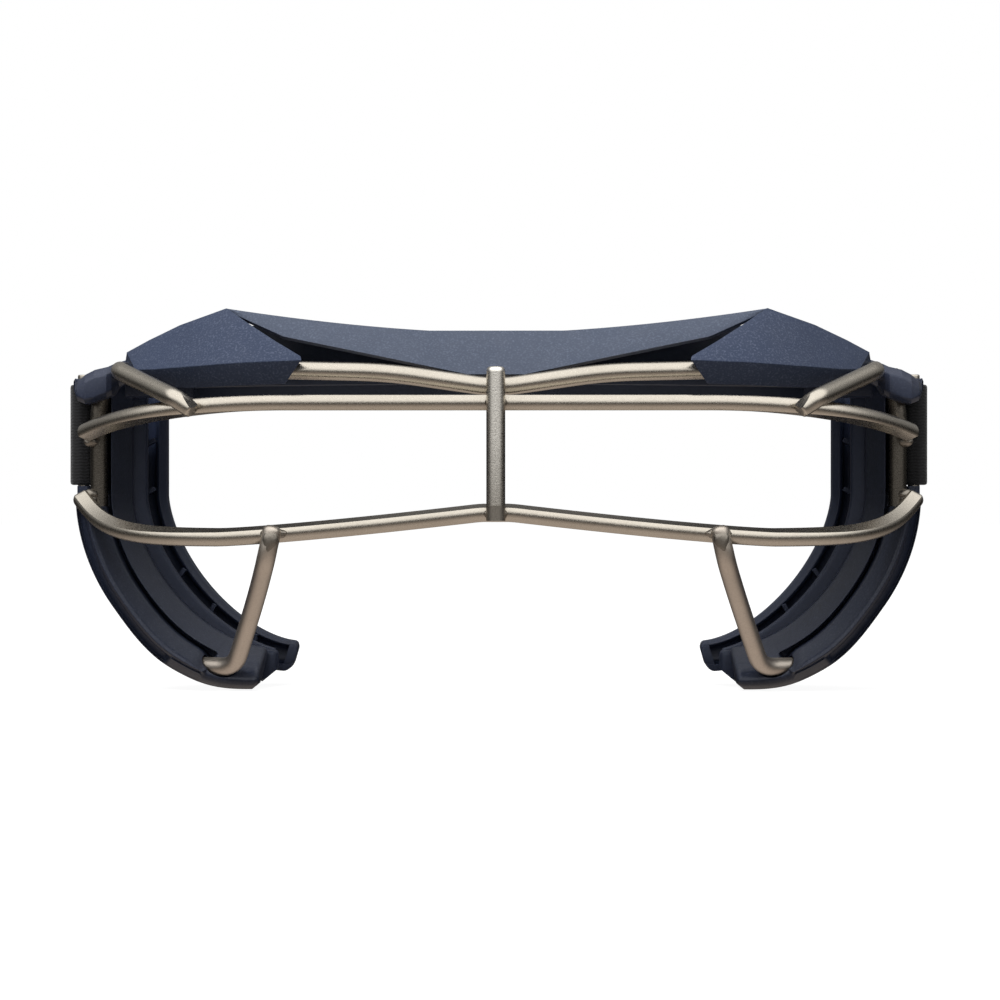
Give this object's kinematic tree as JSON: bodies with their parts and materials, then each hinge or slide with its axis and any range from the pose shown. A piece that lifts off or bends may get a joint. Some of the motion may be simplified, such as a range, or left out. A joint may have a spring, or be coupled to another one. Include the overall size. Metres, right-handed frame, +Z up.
{
  "type": "sports protective goggles",
  "caption": "Wire-cage sports protective goggles with a moulded wrap-round brow and cheek frame, soft face pads and an elastic head strap with a sliding adjuster.",
  "frame": {"origin": "the wearer's brow centre on the eye line: the middle of the brow pad's rear face in plan, at the height of the eyes", "axes": "+X to the right seen from the front, -Y is the way the goggles face, +Y runs back round the head, +Z up"},
  "size_m": [0.1719, 0.2356, 0.0779],
  "materials": {
    "frame_navy": "satin navy moulded plastic with a fine metallic sparkle",
    "inner_frame": "dark navy moulded plastic, smooth matte",
    "face_pad": "dark navy soft overmoulded elastomer, satin",
    "cage_wire": "satin champagne coated steel wire",
    "strap_webbing": "knitted black elastic webbing",
    "adjuster_plastic": "black moulded acetal"
  },
  "bodies": {
    "root": {"brow_carrier": "inner_frame", "brow_visor": "frame_navy", "brow_cap_left": "frame_navy", "brow_cap_right": "frame_navy", "temple_frame_left": "frame_navy", "temple_frame_right": "frame_navy", "cheek_shell_left": "frame_navy", "cheek_shell_right": "frame_navy", "brow_wire": "cage_wire", "upper_bar": "cage_wire", "lower_bar": "cage_wire", "centre_bar": "cage_wire", "brow_post_left": "cage_wire", "brow_post_right": "cage_wire", "side_post_left": "cage_wire", "side_post_right": "cage_wire", "cheek_leg_left": "cage_wire", "cheek_leg_right": "cage_wire", "cage_welds": "cage_wire", "brow_pad": "face_pad", "side_pad_left": "face_pad", "side_pad_right": "face_pad", "strap_bar_left": "cage_wire", "strap_bar_right": "cage_wire", "strap": "strap_webbing", "strap_return": "strap_webbing"},
    "adjuster": {"strap_adjuster": "adjuster_plastic", "strap_end_loop": "strap_webbing"}
  },
  "joints": [
    {"name": "adjuster_slide", "type": "slide", "parent": "root", "child": "adjuster", "axis": [0, 1, 0], "range_m": [-0.004, 0.024], "deforming": ["strap_return"]}
  ]
}
